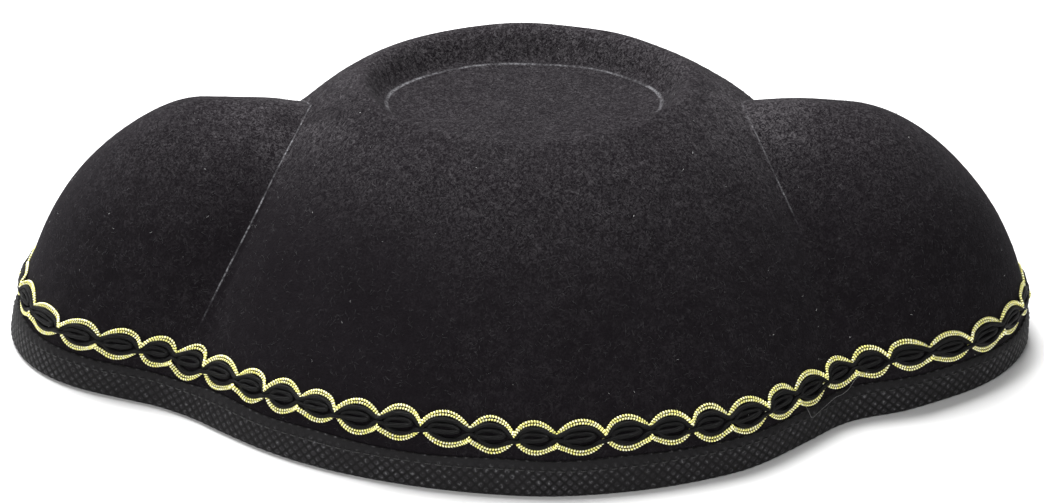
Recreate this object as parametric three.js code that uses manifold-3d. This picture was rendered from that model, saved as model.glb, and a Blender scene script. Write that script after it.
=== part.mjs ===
// A matador's hat in moulded black felt: a broad oval crown with a dent in its top, a
// rounded lobe on each side, a tape bound round the bottom edge and a scroll braid in gold
// and black sewn on above it. The origin is under the middle of the hat, on the surface that
// the bound edge rests on. +X runs along the lobes, -Y is the front and +Z is up.
// Every length is in millimetres.
import * as THREE from "three";
import { ParametricGeometry } from "three/addons/geometries/ParametricGeometry.js";
import { mergeVertices } from "three/addons/utils/BufferGeometryUtils.js";
import Module from "manifold-3d";

const wasm = await Module();
wasm.setup();

// ---- driving dimensions --------------------------------------------------------------

// Crown: an oval at the base that shrinks to a smaller oval at the crest.
const crownHalfWidth = 129;
const crownHalfDepth = 105;
const crownHeight = 96.5;
const crestHalfWidth = 54;
const crestHalfDepth = 42;
const crownWallPower = 1.63; // higher keeps the wall upright for longer
const crownShoulderPower = 1.14; // higher makes the shoulder rounder

// Dent in the top of the crown, measured at the edge of its floor.
const dentHalfWidth = 46;
const dentHalfDepth = 30;
const dentDepth = 8.8;

// Lobes: straight sides that start inside the crown, and a half-oval end.
const lobeReach = 174; // from the middle of the hat to the tip of the lobe
const lobeCentre = 108; // where the straight sides end and the oval end starts
const lobeHalfDepth = 54;
const lobeHeight = 86;
const lobeWallPower = 1.76;
const lobeShoulderPower = 1.66;
const lobeRoot = 52; // where the lobe's own solid starts, inside the crown

// Felt, and the clearance between pieces that touch.
const feltThickness = 2;
const clearance = 0.3;

// Tape folded over the bottom edge.
const tapeThickness = 0.8;
const tapeOuterHeight = 12.4;
const tapeInnerHeight = 9;

// Sewing thread and where its rows run.
const threadThickness = 0.3;
const seamFromTapeEdge = 3;

// Braid: a chain of eyes with gold strands outside and black gimp cord inside.
const braidAboveTape = 0.9;
const braidLinks = 60;
const creaseBridge = 8; // how wide the braid bridges the crease between crown and lobe
const goldCrest = 5.3; // from the middle line to the outer gold strand, at an eye
const strandSpacing = 0.95; // from the outer gold strand to the inner one
const strandHalfHeight = 0.38;
const strandHalfThickness = 0.45;
const gimpHalf = 0.7;

// Sweatband: an oval for the head, sewn in with the tape at the front and back.
const bandHalfWidth = 83;
const bandThickness = 1.2;
const bandBottom = 4;
const bandHeight = 25;
const bandSeam = 2.5; // from each edge of the band to its row of stitches

// Blank label sewn to the inside of the band, at the back.
const labelWidth = 30;
const labelThickness = 0.4;
const labelFromSeam = 1.7; // from each row of the band's stitches to the label

// ---- facets ---------------------------------------------------------------------------

const crownSlices = 48;
const crownWallStacks = 7;
const dentStacks = 3;
const lobeEndSlices = 12;
const lobeSideSlices = 2;
const lobeStacks = 7;
const bandSlices = 48;
const stepsPerLink = 4;
const cordSides = 3;

// ---- the shape of the wall ---------------------------------------------------------------

// Height of the braid's middle line.
const braidMiddle = tapeOuterHeight + braidAboveTape + goldCrest + strandHalfHeight;

// How much of the way from the top section to the base section is left at this height.
function spread(height, total, wallPower, shoulderPower) {
  const rise = Math.min(Math.max(height / total, 0), 1);
  return Math.pow(1 - Math.pow(rise, wallPower), 1 / shoulderPower);
}

function crownSection(height) {
  const k = spread(height, crownHeight, crownWallPower, crownShoulderPower);
  return {
    halfWidth: THREE.MathUtils.lerp(crestHalfWidth, crownHalfWidth, k),
    halfDepth: THREE.MathUtils.lerp(crestHalfDepth, crownHalfDepth, k),
  };
}

// Distance from the axis to the crown's oval, in the direction of the angle.
function crownRadius(angle, height) {
  const { halfWidth, halfDepth } = crownSection(height);
  return 1 / Math.hypot(Math.cos(angle) / halfWidth, Math.sin(angle) / halfDepth);
}

// Distance from the axis to a lobe's straight side or its oval end, and 0 where it has none.
function lobeRadius(angle, height) {
  const k = spread(height, lobeHeight, lobeWallPower, lobeShoulderPower);
  const across = Math.abs(Math.sin(angle));
  const along = Math.abs(Math.cos(angle));
  const halfDepth = lobeHalfDepth * k;
  const halfEnd = (lobeReach - lobeCentre) * k;
  const toSide = halfDepth / Math.max(across, 1e-9);
  if (toSide * along <= lobeCentre) return toSide;
  const a = (along / halfEnd) ** 2 + (across / halfDepth) ** 2;
  const b = (-2 * lobeCentre * along) / halfEnd ** 2;
  const c = (lobeCentre / halfEnd) ** 2 - 1;
  return (-b + Math.sqrt(Math.max(b * b - 4 * a * c, 0))) / (2 * a);
}

// The outline that the braid follows: crown and lobe, with the crease between them bridged.
function wallRadius(angle, height) {
  const crown = crownRadius(angle, height);
  const lobe = lobeRadius(angle, height);
  const near = Math.max(creaseBridge - Math.abs(crown - lobe), 0) / creaseBridge;
  return Math.max(crown, lobe) + (near * near * creaseBridge) / 4;
}

// A point at this height, moved straight out from the felt's outer face.
function wallPoint(angle, height, out, target) {
  const step = 1e-3;
  const before = wallRadius(angle - step, height);
  const after = wallRadius(angle + step, height);
  const alongX = after * Math.cos(angle + step) - before * Math.cos(angle - step);
  const alongY = after * Math.sin(angle + step) - before * Math.sin(angle - step);
  const length = Math.hypot(alongX, alongY);
  const radius = wallRadius(angle, height);
  return target.set(
    radius * Math.cos(angle) + (out * alongY) / length,
    radius * Math.sin(angle) - (out * alongX) / length,
    height,
  );
}

// The braid's middle line, which starts and ends at the back.
class BraidLine extends THREE.Curve {
  getPoint(t, target = new THREE.Vector3()) {
    return wallPoint(Math.PI * (0.5 + 2 * t), braidMiddle, 0, target);
  }
}

const braidLine = new BraidLine();
braidLine.arcLengthDivisions = 1440;

// The angle of a station that is a share of the way round, in equal steps of length.
function stationAngle(share) {
  return Math.PI * (0.5 + 2 * braidLine.getUtoTmapping(share % 1));
}

// ---- solids -----------------------------------------------------------------------------

function toSolid(geometry) {
  geometry.deleteAttribute("normal");
  geometry.deleteAttribute("uv");
  const merged = mergeVertices(geometry, 1e-3);
  return new wasm.Manifold(
    new wasm.Mesh({
      numProp: 3,
      vertProperties: merged.attributes.position.array,
      triVerts: new Uint32Array(merged.index.array),
    }),
  );
}

function toGeometry(solid) {
  const { vertProperties, triVerts } = solid.getMesh();
  const geometry = new THREE.BufferGeometry();
  geometry.setAttribute("position", new THREE.BufferAttribute(vertProperties, 3));
  geometry.setIndex(new THREE.BufferAttribute(triVerts, 1));
  return faceted(geometry);
}

function faceted(geometry) {
  const loose = geometry.index ? geometry.toNonIndexed() : geometry;
  loose.computeVertexNormals();
  return loose;
}

// The same surface moved inwards by a distance, along its own normal. Its last row is the
// top of a dome or a ridge, where the normal is straight up.
function movedIn(surface, distance) {
  const step = 1e-4;
  const up = new THREE.Vector3(0, 0, 1);
  const [here, there, alongU, alongV] = [0, 1, 2, 3].map(() => new THREE.Vector3());
  return (u, v, target) => {
    if (v === 1) return surface(u, v, target).addScaledVector(up, -distance);
    const safe = Math.max(v, step);
    surface((u + step) % 1, safe, there);
    surface((u + 1 - step) % 1, safe, here);
    alongU.subVectors(there, here);
    surface(u, safe + step, there);
    surface(u, safe - step, here);
    alongV.subVectors(there, here);
    surface(u, v, target);
    return target.addScaledVector(alongU.cross(alongV).normalize(), -distance);
  };
}

// The closed solid between a domed surface and a flat floor, whose middle is given.
function solidUnder(surface, slices, stacks, middle) {
  const rows = stacks + 2;
  return toSolid(
    new ParametricGeometry(
      (u, v, target) => {
        const row = Math.round(v * rows);
        if (row === 0) return target.copy(middle);
        surface(u % 1, Math.max(row - 2, 0) / stacks, target);
        return row === 1 ? target.setZ(middle.z) : target;
      },
      slices,
      rows,
    ),
  );
}

// ---- felt and edge binding ---------------------------------------------------------------

const feltBottom = tapeThickness + clearance;
const crownStacks = crownWallStacks + dentStacks + 1;

// The crown's outer face: up the wall to the crest, down the dent and across its floor.
function crownSurface(u, v, target) {
  const angle = 2 * Math.PI * u;
  const row = v * crownStacks;
  const wall = Math.min(row / crownWallStacks, 1);
  const dent = Math.min(Math.max((row - crownWallStacks) / dentStacks, 0), 1);
  const floor = Math.max(row - crownWallStacks - dentStacks, 0);
  const k = Math.cos((wall * Math.PI) / 2);
  const rise = Math.pow(1 - Math.pow(k, crownShoulderPower), 1 / crownWallPower);
  const crest = THREE.MathUtils.lerp(crestHalfWidth, dentHalfWidth, dent);
  const crestDepth = THREE.MathUtils.lerp(crestHalfDepth, dentHalfDepth, dent);
  const halfWidth = THREE.MathUtils.lerp(crest, crownHalfWidth, k) * (1 - floor);
  const halfDepth = THREE.MathUtils.lerp(crestDepth, crownHalfDepth, k) * (1 - floor);
  return target.set(
    halfWidth * Math.cos(angle),
    halfDepth * Math.sin(angle),
    crownHeight * rise - (dentDepth * (1 - Math.cos(Math.PI * dent))) / 2,
  );
}

const lobeSlices = lobeEndSlices + 2 * lobeSideSlices + 2;

// The plan of a lobe at full size: its oval end, then its sides and its flat root.
function lobePlan(u) {
  const slice = u * lobeSlices;
  if (slice <= lobeEndSlices) {
    const turn = Math.PI * (slice / lobeEndSlices - 0.5);
    return { end: Math.cos(turn), side: 0, across: Math.sin(turn) };
  }
  const past = slice - lobeEndSlices;
  const side = Math.min(past, lobeSideSlices + 1, lobeSlices - lobeEndSlices - past);
  const across = Math.min(Math.max(lobeSideSlices + 1 - past, -1), 1);
  return { end: 0, side: Math.min(side / lobeSideSlices, 1), across };
}

// The right-hand lobe's outer face, up to the ridge along its top.
function lobeSurface(u, v, target) {
  const { end, side, across } = lobePlan(u);
  const k = Math.cos((v * Math.PI) / 2);
  const rise = Math.pow(1 - Math.pow(k, lobeShoulderPower), 1 / lobeWallPower);
  return target.set(
    lobeCentre + (lobeReach - lobeCentre) * k * end - (lobeCentre - lobeRoot) * side,
    lobeHalfDepth * k * across,
    lobeHeight * rise,
  );
}

// The whole hat as one solid, with its outer face moved inwards by a distance.
function hatSolid(inwards) {
  const floor = -clearance - tapeThickness;
  const crown = movedIn(crownSurface, inwards);
  const lobe = movedIn(lobeSurface, inwards);
  const lobeMiddle = new THREE.Vector3(lobeCentre, 0, floor);
  const crownMiddle = new THREE.Vector3(0, 0, floor);
  const right = solidUnder(lobe, lobeSlices, lobeStacks, lobeMiddle);
  return solidUnder(crown, crownSlices, crownStacks, crownMiddle)
    .add(right)
    .add(right.mirror([1, 0, 0]));
}

// The layer between two distances in from the felt's outer face, and between two heights.
function layer(outside, inside, bottom, top) {
  const side = 3 * lobeReach;
  const slab = new THREE.BoxGeometry(side, side, top - bottom);
  slab.translate(0, 0, (top + bottom) / 2);
  return hatSolid(outside).subtract(hatSolid(inside)).intersect(toSolid(slab));
}

function feltBody() {
  return toGeometry(layer(0, feltThickness, feltBottom, crownHeight + clearance));
}

const tapeOutside = -clearance - tapeThickness;
const tapeInside = feltThickness + clearance + tapeThickness;

function edgeBinding() {
  const outerFlap = layer(tapeOutside, -clearance, 0, tapeOuterHeight);
  const innerFlap = layer(tapeInside - tapeThickness, tapeInside, 0, tapeInnerHeight);
  const fold = layer(tapeOutside, tapeInside, 0, tapeThickness);
  return toGeometry(outerFlap.add(innerFlap).add(fold));
}

// A row of thread laid on one flap of the tape, its near face this far in from the felt's.
function tapeThread(outside, height) {
  const inside = outside + threadThickness;
  return toGeometry(layer(outside, inside, height, height + threadThickness));
}

// ---- braid ---------------------------------------------------------------------------------

// Between two eyes the cords close up round the thread, and the gold rises over the gimp.
const gimpNode = threadThickness / 2 + clearance + gimpHalf;
const goldNode = strandSpacing + strandHalfHeight + 1.5 * clearance;
const gimpCrest = goldCrest - strandSpacing - strandHalfHeight - gimpHalf - 2 * clearance;
const crossingLift = gimpHalf + strandHalfThickness + clearance;

// A braid cord: it swings away from the middle line at each eye, and lifts between eyes.
function braidCord({ crest, node, seat, halfHeight, halfThickness, lift, upper }) {
  const steps = braidLinks * (crest > node ? stepsPerLink : 1);
  return new ParametricGeometry(
    (u, v, target) => {
      const swing = Math.abs(Math.sin(Math.PI * braidLinks * u));
      const away = THREE.MathUtils.lerp(node, crest, swing);
      const turn = 2 * Math.PI * v;
      const height = braidMiddle + (upper ? away : -away) + halfHeight * Math.sin(turn);
      const out = seat + lift * (1 - swing) + halfThickness * Math.cos(turn);
      return wallPoint(stationAngle(u), height, out, target);
    },
    steps,
    cordSides,
  );
}

function goldStrand(upper, outer) {
  const inset = outer ? 0 : strandSpacing;
  return braidCord({
    crest: goldCrest - inset,
    node: goldNode - inset,
    seat: clearance + gimpHalf,
    halfHeight: strandHalfHeight,
    halfThickness: strandHalfThickness,
    lift: crossingLift,
    upper,
  });
}

function gimpCord(upper) {
  return braidCord({
    crest: gimpCrest,
    node: gimpNode,
    seat: clearance + gimpHalf,
    halfHeight: gimpHalf,
    halfThickness: gimpHalf,
    lift: 0,
    upper,
  });
}

// The thread that holds the braid down, along its middle line.
function braidThread() {
  const half = threadThickness / 2;
  return braidCord({
    crest: 0,
    node: 0,
    seat: clearance + half,
    halfHeight: half,
    halfThickness: half,
    lift: 0,
    upper: true,
  });
}

// ---- sweatband and label -------------------------------------------------------------------

// From the felt's outer face to the band: the tape's inside, its thread and two clearances.
const bandSeat = tapeInside + threadThickness + 2 * clearance;

const bandTop = bandBottom + bandHeight;
const bandHalfDepthAtBottom = crownSection(bandBottom).halfDepth - bandSeat;
const bandHalfDepthAtTop = crownSection(bandTop).halfDepth - bandSeat;

// The band leans in with the front and back walls, from its bottom edge to its top edge.
function bandPoint(angle, height, inwards, target) {
  const rise = (height - bandBottom) / bandHeight;
  const halfDepth = THREE.MathUtils.lerp(bandHalfDepthAtBottom, bandHalfDepthAtTop, rise);
  return target.set(
    (bandHalfWidth - inwards) * Math.cos(angle),
    (halfDepth - inwards) * Math.sin(angle),
    height,
  );
}

// A closed loop round the head, whose section is a list of corners [inwards, height].
function bandLoop(corners) {
  return new ParametricGeometry(
    (u, v, target) => {
      const [inwards, height] = corners[Math.round(v * corners.length) % corners.length];
      return bandPoint(2 * Math.PI * (u % 1), height, inwards, target);
    },
    bandSlices,
    corners.length,
  );
}

function sweatband() {
  return bandLoop([
    [0, bandBottom],
    [0, bandTop],
    [bandThickness, bandTop],
    [bandThickness, bandBottom],
  ]);
}

// Heights of the two rows of stitches along the band.
const lowerSeam = bandBottom + bandSeam;
const upperSeam = bandTop - bandSeam - threadThickness;

function bandThread(height) {
  const face = bandThickness + clearance;
  return bandLoop([
    [face, height],
    [face, height + threadThickness],
    [face + threadThickness, height + threadThickness / 2],
  ]);
}

// A flat box bent round the inside of the band at the back, standing on a height.
function bentBox(width, thickness, height, bottom, inwards) {
  const box = new THREE.BoxGeometry(width, thickness, height, 6, 1, 2);
  const corner = new THREE.Vector3();
  const places = box.attributes.position;
  for (let i = 0; i < places.count; i += 1) {
    corner.fromBufferAttribute(places, i);
    const angle = Math.PI / 2 - corner.x / bandHalfWidth;
    const inside = inwards + thickness / 2 - corner.y;
    bandPoint(angle, bottom + height / 2 + corner.z, inside, corner);
    places.setXYZ(i, corner.x, corner.y, corner.z);
  }
  return box;
}

const labelInside = bandThickness + clearance;
const labelBottom = lowerSeam + threadThickness + labelFromSeam;
const labelTop = upperSeam - labelFromSeam;

function careLabel() {
  const height = labelTop - labelBottom;
  return bentBox(labelWidth, labelThickness, height, labelBottom, labelInside);
}

function careLabelStitch() {
  const inside = labelInside + labelThickness + clearance;
  const bottom = labelTop - seamFromTapeEdge;
  const length = labelWidth - 2 * seamFromTapeEdge;
  return bentBox(length, threadThickness, threadThickness, bottom, inside);
}

// ---- the hat -----------------------------------------------------------------------------

const finishes = {
  felt: { color: 0x1c1b1f, roughness: 0.95, metalness: 0 },
  tape: { color: 0x232326, roughness: 0.7, metalness: 0 },
  gold: { color: 0xd9c35e, roughness: 0.3, metalness: 0.9 },
  gimp: { color: 0x19181b, roughness: 0.6, metalness: 0 },
  thread: { color: 0x0e0e10, roughness: 0.7, metalness: 0 },
  band: { color: 0x18181a, roughness: 0.8, metalness: 0 },
  label: { color: 0xe8e6e0, roughness: 0.7, metalness: 0 },
};

const hat = new THREE.Group();

function addPiece(name, geometry, finish) {
  const mesh = new THREE.Mesh(geometry, new THREE.MeshStandardMaterial(finishes[finish]));
  mesh.name = name;
  hat.add(mesh);
}

addPiece("felt_body", feltBody(), "felt");
addPiece("edge_binding", edgeBinding(), "tape");

const outerRow = tapeThread(
  tapeOutside - clearance - threadThickness,
  tapeOuterHeight - seamFromTapeEdge,
);
const innerRow = tapeThread(tapeInside + clearance, tapeInnerHeight - seamFromTapeEdge);
addPiece("binding_stitch_outer", outerRow, "thread");
addPiece("binding_stitch_inner", innerRow, "thread");

for (const [side, upper] of [["upper", true], ["lower", false]]) {
  for (const [row, outer] of [["outer", true], ["inner", false]]) {
    addPiece(`gold_strand_${side}_${row}`, faceted(goldStrand(upper, outer)), "gold");
  }
  addPiece(`gimp_cord_${side}`, faceted(gimpCord(upper)), "gimp");
}
addPiece("braid_stitch", faceted(braidThread()), "thread");

addPiece("sweatband", faceted(sweatband()), "band");
addPiece("sweatband_stitch_lower", faceted(bandThread(lowerSeam)), "thread");
addPiece("sweatband_stitch_upper", faceted(bandThread(upperSeam)), "thread");
addPiece("care_label", faceted(careLabel()), "label");
addPiece("care_label_stitch", faceted(careLabelStitch()), "thread");

export default hat;
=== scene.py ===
# %% [markdown]
# # A matador's hat in moulded black felt
# The hat is one felt shell: a broad oval crown with a dent in its top and a rounded lobe on
# each side. A tape with a pressed diamond pattern is folded over its bottom edge. Above the
# tape runs a scroll braid: a chain of eyes with gold strands outside and black gimp inside.
# A ribbed sweatband and a blank label are sewn inside.
# Each piece below is made around the solid of the same name in the CAD frame.

import bmesh
import bpy
import numpy as np
from mathutils import Matrix, Vector


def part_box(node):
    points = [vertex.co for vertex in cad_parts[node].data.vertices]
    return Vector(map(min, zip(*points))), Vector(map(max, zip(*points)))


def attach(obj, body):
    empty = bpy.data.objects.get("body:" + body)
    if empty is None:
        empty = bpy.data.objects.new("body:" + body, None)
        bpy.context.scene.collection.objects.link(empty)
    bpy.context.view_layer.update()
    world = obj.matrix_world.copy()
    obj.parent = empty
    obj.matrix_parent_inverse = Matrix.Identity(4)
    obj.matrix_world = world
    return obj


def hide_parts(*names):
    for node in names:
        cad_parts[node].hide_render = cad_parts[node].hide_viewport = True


MM = 0.001  # everything below is worked out in millimetres
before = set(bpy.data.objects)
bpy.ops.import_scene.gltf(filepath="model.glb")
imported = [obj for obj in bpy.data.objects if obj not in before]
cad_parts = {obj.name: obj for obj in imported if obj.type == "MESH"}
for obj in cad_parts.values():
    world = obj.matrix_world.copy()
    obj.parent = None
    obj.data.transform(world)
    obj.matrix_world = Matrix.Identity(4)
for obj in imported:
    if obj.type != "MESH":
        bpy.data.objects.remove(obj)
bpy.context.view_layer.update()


# %% [markdown]
# ## Sizes
# Heights and places are read from the frame, so that each piece sits where its solid is.
# The curves need a few more numbers. Those of crown and lobes are the CAD's own, and the dent
# is that of a hat made by hand: a little deeper, tilted, and with a lower lip in front.

# %% Read sizes from the frame
def span(node):
    """Lowest and highest corner of a CAD node, in millimetres."""
    low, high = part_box(node)
    return np.array(low) / MM, np.array(high) / MM


def middle(node):
    """Middle of a CAD node's box, in millimetres."""
    return sum(span(node)) / 2


felt_top = span("felt_body")[1]
CROWN_HEIGHT = felt_top[2]
LOBE_REACH = felt_top[0]
TAPE_TOP = span("edge_binding")[1][2]
TAPE_OUT = span("edge_binding")[1][0] - LOBE_REACH
BRAID_MIDDLE = middle("braid_stitch")[2]
BAND_LOW, BAND_HIGH = span("sweatband")
print("crown height", round(CROWN_HEIGHT, 2), "lobe reach", round(LOBE_REACH, 2))
print("tape top", round(TAPE_TOP, 2), "braid middle", round(BRAID_MIDDLE, 2))

# %% Name the sizes that the frame does not give
CROWN_HALF = np.array([129.0, 105.0])  # half width and half depth at the bottom
CREST_HALF = np.array([54.0, 42.0])  # the same at the crest
CROWN_POWERS = (1.63, 1.14)  # wall and shoulder
DENT_HALF = np.array([46.0, 31.5])  # edge of the dent's floor
DENT_DEPTH = 9.2
DENT_FORWARD = 1.5  # how far the floor's middle lies in front of the crown's
FLOOR_TILT = 0.9  # the floor's front edge is this much higher than its middle
LIP_DROP = 3.2  # how much lower the crest is at the front
LOBE_CENTRE = 108.0  # where a lobe's straight sides meet its oval end
LOBE_HALF_DEPTH = 54.0
LOBE_HEIGHT = 86.0
LOBE_POWERS = (1.76, 1.66)
BRIDGE = (19.5, 2.5)  # width of the rounding between crown and lobe, at bottom and top
FELT_THICKNESS = 2.0
FELT_BOTTOM = 1.6
TAPE_THICKNESS = 0.8
TAPE_IN = -3.1  # the tape's inner face, from the felt's outer one
TAPE_INNER_TOP = 9.0
WELD = 1e-4  # points closer than this are one point
random = np.random.default_rng(1927)


# %% [markdown]
# ## The wall's outline
# A real hat body is steamed over a wooden block. The block here is a pair of formulas: at each
# height the crown is an oval and the lobe is a bar with an oval end, and both shrink as they
# rise. Seen from the axis, the wall is whichever reaches further, with the corner between
# them rounded. Every trim that follows the wall uses these same functions.

# %% Outline functions
def ramp(x, start, end):
    """Rises evenly from 0 at start to 1 at end. The end may be the smaller one."""
    return np.clip((x - start) / (end - start), 0, 1)


def hump(x, middle, width):
    """Bell curve 1, falling to 1/e a width away from its middle."""
    return np.exp(-(((x - middle) / width) ** 2))


def spread(height, total, powers):
    """Share of the base section left at a height: (1 - rise^wall)^(1 / shoulder)."""
    wall, shoulder = powers
    return np.maximum(1 - ramp(height, 0, total) ** wall, 0) ** (1 / shoulder)


def crown_radius(angle, height):
    """Distance from the axis to the crown's oval: 1 / |(cos / half width, sin / half depth)|."""
    k = spread(height, CROWN_HEIGHT, CROWN_POWERS)
    half_width, half_depth = (c + (b - c) * k for b, c in zip(CROWN_HALF, CREST_HALF))
    return 1 / np.hypot(np.cos(angle) / half_width, np.sin(angle) / half_depth)


def lobe_radius(angle, height):
    """Distance from the axis to a lobe's straight side, or past it to the oval end."""
    k = np.maximum(spread(height, LOBE_HEIGHT, LOBE_POWERS), 1e-6)
    along, across = np.abs(np.cos(angle)), np.maximum(np.abs(np.sin(angle)), 1e-9)
    half_depth, half_end = LOBE_HALF_DEPTH * k, (LOBE_REACH - LOBE_CENTRE) * k
    side = half_depth / across
    a = (along / half_end) ** 2 + (across / half_depth) ** 2
    b = -2 * LOBE_CENTRE * along / half_end**2
    c = (LOBE_CENTRE / half_end) ** 2 - 1
    end = (-b + np.sqrt(np.maximum(b * b - 4 * a * c, 0))) / (2 * a)
    return np.where(side * along <= LOBE_CENTRE, side, end)


def wall_radius(angle, height):
    """The further of crown and lobe, plus w near^2 / 4 where they differ by less than w."""
    crown, lobe = crown_radius(angle, height), lobe_radius(angle, height)
    width = BRIDGE[1] + (BRIDGE[0] - BRIDGE[1]) * (1 - ramp(height, 12, 67)) ** 2
    near = np.maximum(width - np.abs(crown - lobe), 0) / width
    return np.maximum(crown, lobe) + near**2 * width / 4


def outline(angle, height):
    """The wall's point at an angle and a height."""
    radius = wall_radius(angle, height)
    x, y, z = np.broadcast_arrays(radius * np.cos(angle), radius * np.sin(angle), height)
    return np.stack([x, y, z], axis=-1)


def wall_normal(angle, height, step=1e-3):
    """Level direction straight out from the wall: the outline's tangent turned by a quarter."""
    along = outline(angle + step, height) - outline(angle - step, height)
    normal = np.stack([along[..., 1], -along[..., 0], np.zeros(along.shape[:-1])], axis=-1)
    return normal / np.linalg.norm(normal, axis=-1, keepdims=True)


# Where the base of the front stands further out: middle, width and amount, all in mm.
BULGES = np.array(
    [[60, 32, 2.3], [128, 18, 1.5], [-138, 24, -1.2], [-108, 9, 2.0], [-62, 26, -0.9]]
    + [[12, 22, 1.7], [76, 13, 1.4], [107, 9, 1.0], [142, 13, -1.0]]
)


def handmade(points):
    """Adds the unevenness of handwork: slow waves, and a right side blocked a little fuller
    than the left one. Nothing moves up or down at the table's height."""
    x, y, z = np.moveaxis(points, -1, 0)
    right, left, front = ramp(x, 0, 100), ramp(x, 0, -150), ramp(y, 0, -50) * ramp(z, 60, 15)
    body, base, high = ramp(z, 0, 45), 1 - ramp(z, 0, 30), ramp(z, 60, 85)
    dx = 0.25 * np.sin(y / 21 + z / 17 + 0.6) + 0.15 * np.sin(x / 13 - y / 11)
    dx = dx + right * (0.9 * body - 1.4 * base) - 2.6 * left**3 * base
    dx = dx + right * hump(z, 60, 20) + (2.0 * hump(x, 74, 20) - 1.0 * hump(x, -74, 16)) * high
    dy = 0.25 * np.sin(x / 19 - z / 14 + 2.1) + 0.15 * np.sin(x / 9 + z / 8)
    dy = dy - front * (BULGES[:, 2] * hump(x[..., None], BULGES[:, 0], BULGES[:, 1])).sum(axis=-1)
    dy = dy + front * 3.6 * ramp(x, 128, 173)
    dz = 0.25 * np.sin(x / 15 + y / 27) + 0.2 * np.sin(x / 6.5 - y / 8 + 1.3)
    lean = (1.6 * hump(x, 85, 27) + 0.8 * hump(x, -100, 22)) * ramp(z, 35, 85)
    dz = ramp(z, 0, 12) * dz + lean - 1.5 * hump(x, -74, 8) * high
    return points + np.stack([dx, dy, dz], axis=-1)


def measured(points):
    """Length along each row of points, from its start."""
    steps = np.linalg.norm(np.diff(points, axis=-2), axis=-1)
    return np.concatenate([np.zeros_like(steps[..., :1]), np.cumsum(steps, axis=-1)], axis=-1)


def around(height, samples=8640):
    """Length round the wall at a height, and a function from length to angle.

    Lengths start at the back of the hat, at the end of the Y axis."""
    angle = np.pi / 2 + np.linspace(0, 2 * np.pi, samples + 1)
    length = measured(outline(angle, np.float64(height)))
    total = length[-1]
    return total, lambda s: np.interp(s % total, length, angle)


print("length round the braid:", round(around(BRAID_MIDDLE)[0], 1), "mm")


# %% [markdown]
# ## From arrays to pieces
# A surface is a grid of points, so its faces follow from the grid's size alone. A cord is a
# grid too: one row of points round the cord for each step along its path.

# %% Mesh helpers
def grid_faces(rows, columns, close_rows=False, close_columns=False):
    """Quads of a grid, and the unwrapped row and column of each of their corners."""
    row, column = np.meshgrid(
        np.arange(rows if close_rows else rows - 1),
        np.arange(columns if close_columns else columns - 1),
        indexing="ij",
    )
    row = np.stack([row, row, row + 1, row + 1], axis=-1).reshape(-1, 4)
    column = np.stack([column, column + 1, column + 1, column], axis=-1).reshape(-1, 4)
    return (row % rows) * columns + column % columns, row, column


def add_mesh(name, points, faces, uv=None, **attributes):
    """A smooth mesh object from points in millimetres. uv has a pair for each face corner."""
    mesh = bpy.data.meshes.new(name)
    mesh.from_pydata((points.reshape(-1, 3) * MM).tolist(), [], np.asarray(faces).tolist())
    if uv is not None:
        layer = mesh.uv_layers.new(name="UVMap")
        layer.data.foreach_set("uv", (uv * MM).astype(np.float32).ravel())
    for key, values in attributes.items():
        layer = mesh.attributes.new(key, "FLOAT", "POINT")
        layer.data.foreach_set("value", values.astype(np.float32).ravel())
    mesh.shade_smooth()
    piece = bpy.data.objects.new(name, mesh)
    bpy.context.scene.collection.objects.link(piece)
    return piece


def weld(meshes, distance, mend=None):
    """Joins meshes into the first one and makes points within a distance of each other one."""
    whole = bmesh.new()
    for mesh in meshes:
        whole.from_mesh(mesh)
    bmesh.ops.remove_doubles(whole, verts=whole.verts, dist=distance * MM)
    if mend:
        mend(whole)
    whole.to_mesh(meshes[0])
    whole.free()


def finish_piece(piece, nodes, material):
    """Puts a piece on the hat in place of its CAD nodes and material."""
    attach(piece, "root")
    if nodes:
        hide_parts(*nodes)
    piece.data.materials.clear()
    piece.data.materials.append(material)
    triangles = sum(len(p.vertices) - 2 for p in piece.data.polygons)
    print(piece.name, "has", triangles, "triangles before modifiers")


def unit(vectors):
    """The same directions with length 1."""
    return vectors / np.linalg.norm(vectors, axis=-1, keepdims=True)


def rings(sides, first, second):
    """A ring of unit vectors for each pair of directions, turning from first to second."""
    turn = np.arange(sides)[:, None] * 2 * np.pi / sides
    return np.cos(turn) * first[:, None] + np.sin(turn) * second[:, None]


def loop_length(centres):
    """Length along a closed path, up to each of its points. The closing step comes first."""
    return np.cumsum(np.linalg.norm(centres - np.roll(centres, 1, axis=0), axis=1))


def cord(name, centres, outwards, section, length, side):
    """Closed cord along a path. centres and outwards are (steps, 3), and section is
    (steps, sides, 2): how far each point lies across the path and outwards from it. The UV
    map is the length given, and the width of one side of the cord."""
    tangent = unit(np.roll(centres, -1, axis=0) - np.roll(centres, 1, axis=0))
    out = unit(outwards - np.sum(outwards * tangent, axis=-1, keepdims=True) * tangent)
    across = np.cross(out, tangent)
    points = centres[:, None] + section[..., :1] * across[:, None] + section[..., 1:] * out[:, None]
    faces, row, column = grid_faces(*section.shape[:2], True, True)
    uv = np.stack([np.append(length, length[-1] + 0.2)[row], column * side], axis=-1)
    return add_mesh(name, points, faces, uv)


# %% [markdown]
# ## Shader maths in Python
# A finish is easier to read as a formula than as a web of nodes. `Signal` wraps a socket, so
# that `1 - mask * 0.5` adds the Math nodes by itself. `Finish.add` makes any other node.

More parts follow.
